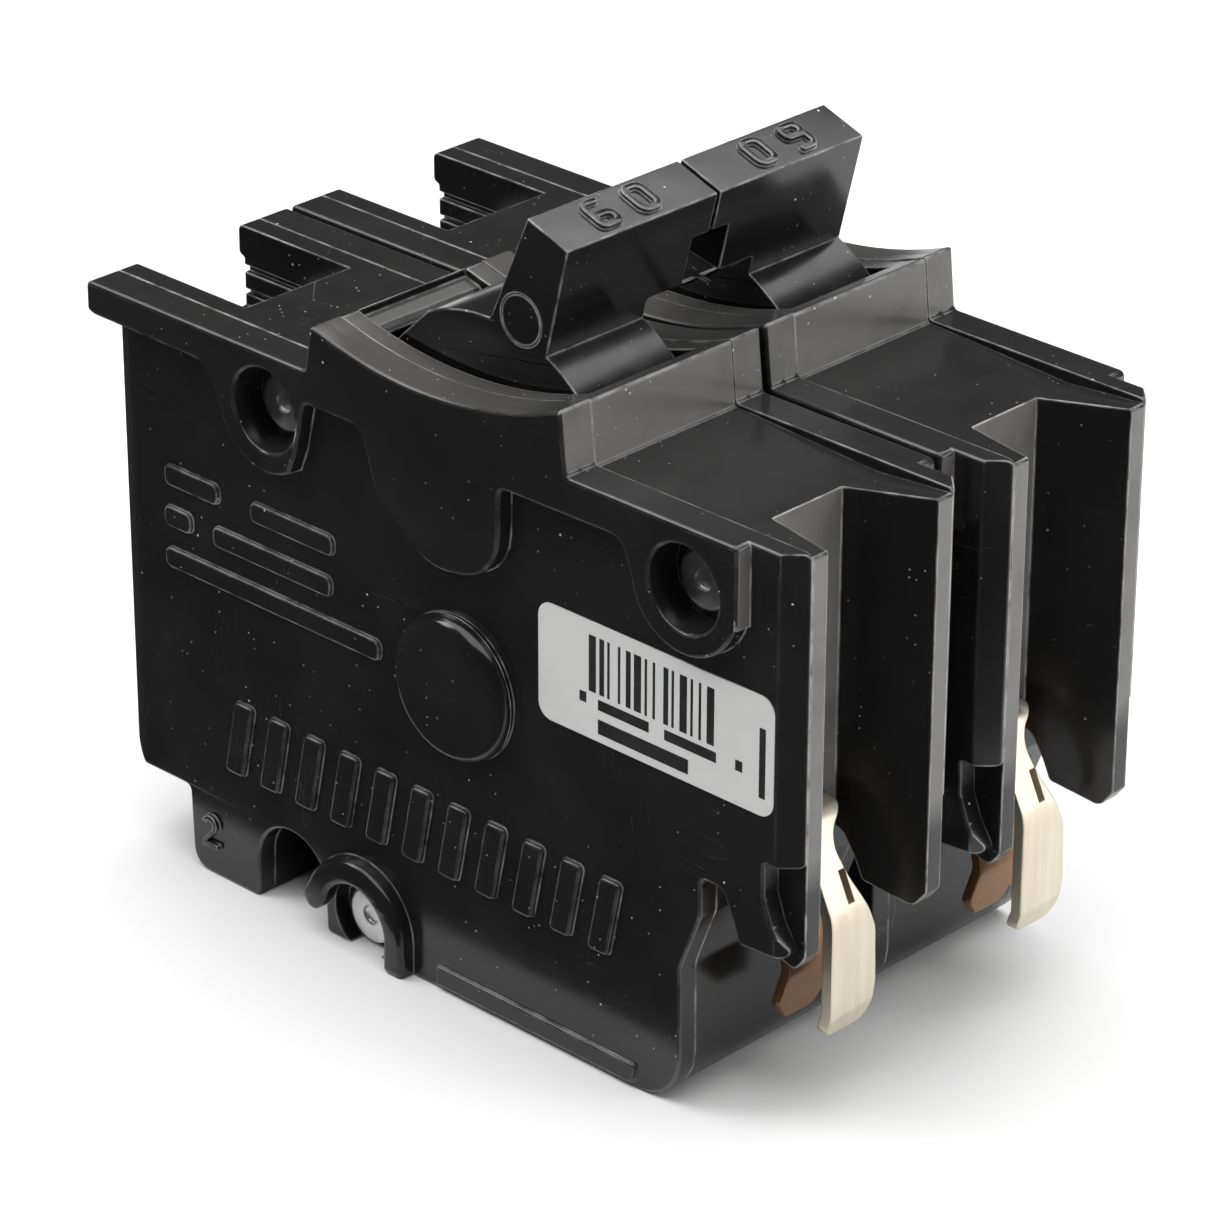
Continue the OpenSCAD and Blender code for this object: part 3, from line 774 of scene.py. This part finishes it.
def build_label():
    face = -PANEL
    x0, x1, z0, z1 = 13.4, 40.9, 32.9, 44.2
    outline = soften([(x0, z0, 1.5), (x1, z0, 1.5), (x1, z1, 1.5), (x0, z1, 1.5)], 6)
    overlay = plate([outline], face - 0.12, face + 0.05, 0.04)
    finish_piece(overlay, "label_look", POLES["a"], "case", PAPER, ["label"])
    # Bars and gaps in turn, in units; then plain strokes as (x, z, width, height)
    widths = (3, 1, 2, 1, 1, 3, 1, 2, 2, 1, 3, 1, 1, 2, 1, 3, 2, 1, 1, 2, 3, 1, 1, 2, 1, 2, 3, 1)
    unit, step = 0.28, 1.12
    x, foot, tall = 19.5, 37.5, 5.4
    strokes = []
    for i, width in enumerate(widths):
        if i % 2 == 0:
            strokes.append((x, foot, width * unit, tall))
        x += width * unit * step
    strokes += [(18.4, 36.2, 0.8, 1.0), (36.6, 36.2, 0.8, 1.0), (20.6, 36.0, 6.0, 1.0),
                (28.4, 36.0, 6.0, 1.0), (20.6, 33.7, 10.6, 1.4), (39.3, 34.6, 0.7, 6.6)]
    ink = None
    for x, z, width, height in strokes:
        bar = block((x, face - 0.135, z), (x + width, face - 0.1, z + height))
        ink = bar if ink is None else join(ink, [bar])
    finish_piece(ink, "label_print", POLES["a"], "case", INK)


def build_terminals():
    for pole, y in POLES.items():
        body = block((-41, -5.5, 37.2), (-31, 5.5, 49.2))
        body = round_edges(body, 0.5, 3)
        body = cut(body, [disc((0, 42), 3.4, -60, 0, 0, "x"), disc(SCREW, 2.05, 44, 60, 0, "z")])
        finish_piece(body, f"lug_{pole}_look", y, "case", ALUMINIUM, [f"lug_{pole}"])
        head = disc(SCREW, 3.6, 49.4, 51.2, 0.4, "z")
        cross = [block((SCREW[0] - u, -v, 50.3), (SCREW[0] + u, v, 60)) for u, v in ((6, 0.5), (0.5, 6))]
        head = cut(head, cross)
        shank = disc(SCREW, 2.0, 45.8, 49.6, 0.2, "z")
        finish_piece(join(head, [shank]), f"terminal_screw_{pole}_look", y, f"lug_screw_{pole}",
                     ZINC, [f"terminal_screw_{pole}"])


def dress_inner_nodes(shown):
    """Gives every CAD node that is still shown its procedural material."""
    slots = {s["node"]: s["material_slot"] for s in frame["record"]["subparts"]}
    for name, obj in frame["nodes"].items():
        if name in shown:
            continue
        obj.data.materials.clear()
        obj.data.materials.append(INNER_LOOKS[slots[name]])


# ---------------------------------------------------------------- stage, light and camera

def stage_sheet(name, corners, height, low, high, rough):
    """A flat matt sheet of the stage, its grey mottled between two tones."""
    mesh = bpy.data.meshes.new(name)
    mesh.from_pydata([(x, y, height) for x, y in corners], [], [tuple(range(len(corners)))])
    sheet = link(name, mesh)
    material, tree, shader = new_material(f"{name}_paint")
    coords = node(tree, "ShaderNodeTexCoord").outputs["Object"]
    tone = blend(tree, noise(tree, coords, 3, 2), [low] * 3, [high] * 3)
    tree.links.new(tone, shader.inputs["Base Color"])
    shader.inputs["Roughness"].default_value = rough
    shader.inputs["Specular IOR Level"].default_value = 0.0
    sheet.data.materials.append(material)
    return sheet


def stage():
    size = 3.0
    floor = stage_sheet("floor", [(-size, -size), (size, -size), (size, size), (-size, size)], 0,
                        0.86, 0.88, 0.9)
    # Dark card beside the near side and the load end, seen only in reflections
    reach, near_edge, load_edge, back = 1.2, -0.031, -0.05, 0.1
    flag = stage_sheet("flag", [(-reach, -reach), (reach, -reach), (reach, near_edge),
                                (load_edge, near_edge), (load_edge, back), (-reach, back)], 0.0002,
                       0.02, 0.025, 0.5)
    flag.visible_camera = flag.visible_diffuse = flag.visible_shadow = False


def area_light(name, at, target, size, power):
    data = bpy.data.lights.new(name, "AREA")
    data.shape = "RECTANGLE"
    data.size = data.size_y = size
    data.energy = power
    lamp = bpy.data.objects.new(name, data)
    bpy.context.scene.collection.objects.link(lamp)
    lamp.location = at
    lamp.rotation_euler = (Vector(target) - Vector(at)).to_track_quat("-Z", "Y").to_euler()
    lamp.visible_camera = False


def lights():
    world = bpy.data.worlds.new("studio")
    world.use_nodes = True
    bpy.context.scene.world = world
    tree = world.node_tree
    sky = tree.nodes["Background"]
    direction = node(tree, "ShaderNodeTexCoord").outputs["Generated"]

    def patch(towards, narrow, wide, strength):
        """A soft bright patch of sky round a direction."""
        turn = node(tree, "ShaderNodeVectorMath", {"operation": "DOT_PRODUCT"}, i1=towards)
        tree.links.new(direction, turn.inputs[0])
        made = node(tree, "ShaderNodeMapRange", {"interpolation_type": "SMOOTHSTEP"},
                    i1=wide, i2=narrow, i3=0.0, i4=strength)
        tree.links.new(turn.outputs["Value"], made.inputs[0])
        return made.outputs[0]

    line_side = patch((0.8, 0.6, 0.05), 0.98, 0.7, 1.8)
    load_side = patch((-0.7, 0.65, 0.3), 0.99, 0.8, 0.1)
    glow = maths(tree, "ADD", maths(tree, "ADD", line_side, load_side), 0.26)
    # The camera sees the backdrop itself as white
    seen = node(tree, "ShaderNodeLightPath").outputs["Is Camera Ray"]
    level = node(tree, "ShaderNodeMix", {"data_type": "FLOAT"}, i3=1.0)
    tree.links.new(seen, level.inputs[0])
    tree.links.new(glow, level.inputs[2])
    tree.links.new(level.outputs[0], sky.inputs[1])
    area_light("overhead", (-0.03, 0.03, 0.9), (0, 0, 0.03), 1.5, 21.0)
    area_light("key", (-0.65, -0.47, 0.68), (0, 0, 0.04), 0.34, 2.6)
    area_light("fill", (0.62, 0.42, 0.3), (0, 0, 0.04), 0.5, 2.6)


def camera():
    data = bpy.data.cameras.new("camera")
    data.sensor_width = 36
    data.lens = 157.4
    data.clip_start = 0.01
    eye = bpy.data.objects.new("camera", data)
    bpy.context.scene.collection.objects.link(eye)
    azimuth, elevation, roll = (math.radians(a) for a in (44.033, 26.514, -0.127))
    look = Vector((-math.sin(azimuth) * math.cos(elevation), math.cos(azimuth) * math.cos(elevation),
                   -math.sin(elevation)))
    right = Vector((math.cos(azimuth), math.sin(azimuth), 0))
    up = right.cross(look)
    turned = right * math.cos(roll) - up * math.sin(roll)
    up = right * math.sin(roll) + up * math.cos(roll)
    eye.matrix_world = Matrix((
        (turned.x, up.x, -look.x, 0.30093), (turned.y, up.y, -look.y, -0.31240),
        (turned.z, up.z, -look.z, 0.24667), (0, 0, 0, 1)))
    bpy.context.scene.camera = eye


stage()
lights()
camera()
bpy.context.scene.view_settings.view_transform = "Standard"
build_covers()
build_frames()
build_handles()
build_jaws()
build_rivets()
build_label()
build_terminals()
replaced = {f"{n}_{p}" for p in POLES for n in (
    "near_cover", "far_cover", "frame", "handle", "jaw_outer", "jaw_inner", "lug", "terminal_screw")}
dress_inner_nodes(replaced | {"rivets", "label"})
